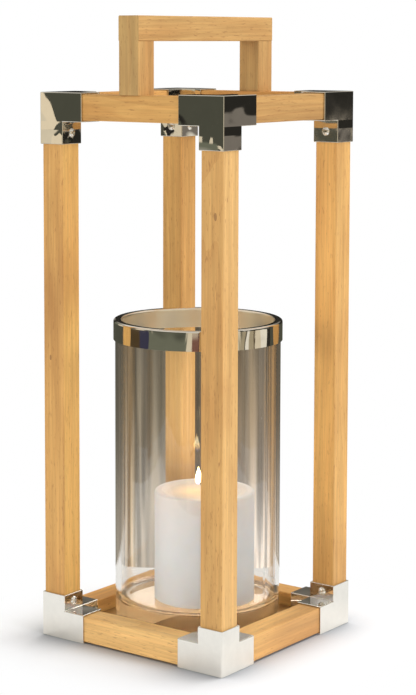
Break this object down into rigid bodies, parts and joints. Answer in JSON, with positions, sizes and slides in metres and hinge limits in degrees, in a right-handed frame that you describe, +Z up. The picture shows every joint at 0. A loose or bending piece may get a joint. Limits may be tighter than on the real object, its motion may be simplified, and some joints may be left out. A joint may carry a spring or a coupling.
{
  "type": "candle lantern",
  "caption": "Square open-frame wooden candle lantern with metal corner sleeves, carrying handle, lift-out glass cylinder with a metal rim collar, and a pillar candle.",
  "frame": {"origin": "centre of the square footprint, on the ground", "axes": "+Z up, the front face towards -Y, the handle crossbar along Y"},
  "size_m": [0.22, 0.22, 0.613],
  "materials": {
    "wood": "light natural wood, satin",
    "dowel": "plain beech dowel",
    "nickel": "polished nickel sheet",
    "screw": "polished",
    "collar": "polished nickel sheet",
    "glass": "clear",
    "wax": "smooth ivory wax",
    "wick": "braided cotton, charred at the tip"
  },
  "bodies": {
    "frame": {"post_front_left": "wood", "post_front_right": "wood", "post_back_left": "wood", "post_back_right": "wood", "top_rail_front": "wood", "top_rail_back": "wood", "top_rail_left": "wood", "top_rail_right": "wood", "bottom_rail_front": "wood", "bottom_rail_back": "wood", "bottom_rail_left": "wood", "bottom_rail_right": "wood", "top_sleeve_front_left": "nickel", "top_sleeve_front_right": "nickel", "top_sleeve_back_left": "nickel", "top_sleeve_back_right": "nickel", "bottom_sleeve_front_left": "nickel", "bottom_sleeve_front_right": "nickel", "bottom_sleeve_back_left": "nickel", "bottom_sleeve_back_right": "nickel", "top_screws": "screw", "bottom_screws": "screw", "top_dowels": "dowel", "bottom_dowels": "dowel", "handle_dowels": "dowel", "base_panel": "wood", "handle_leg_front": "wood", "handle_leg_back": "wood", "handle_crossbar": "wood"},
    "hurricane": {"glass_cylinder": "glass", "rim_collar": "collar"},
    "candle": {"candle_wax": "wax", "candle_wick": "wick"}
  },
  "joints": [
    {"name": "hurricane_lift", "type": "slide", "parent": "frame", "child": "hurricane", "axis": [0, 0, 1], "range_m": [0, 0.12]},
    {"name": "candle_lift", "type": "slide", "parent": "hurricane", "child": "candle", "axis": [0, 0, 1], "range_m": [0, 0.285]}
  ]
}
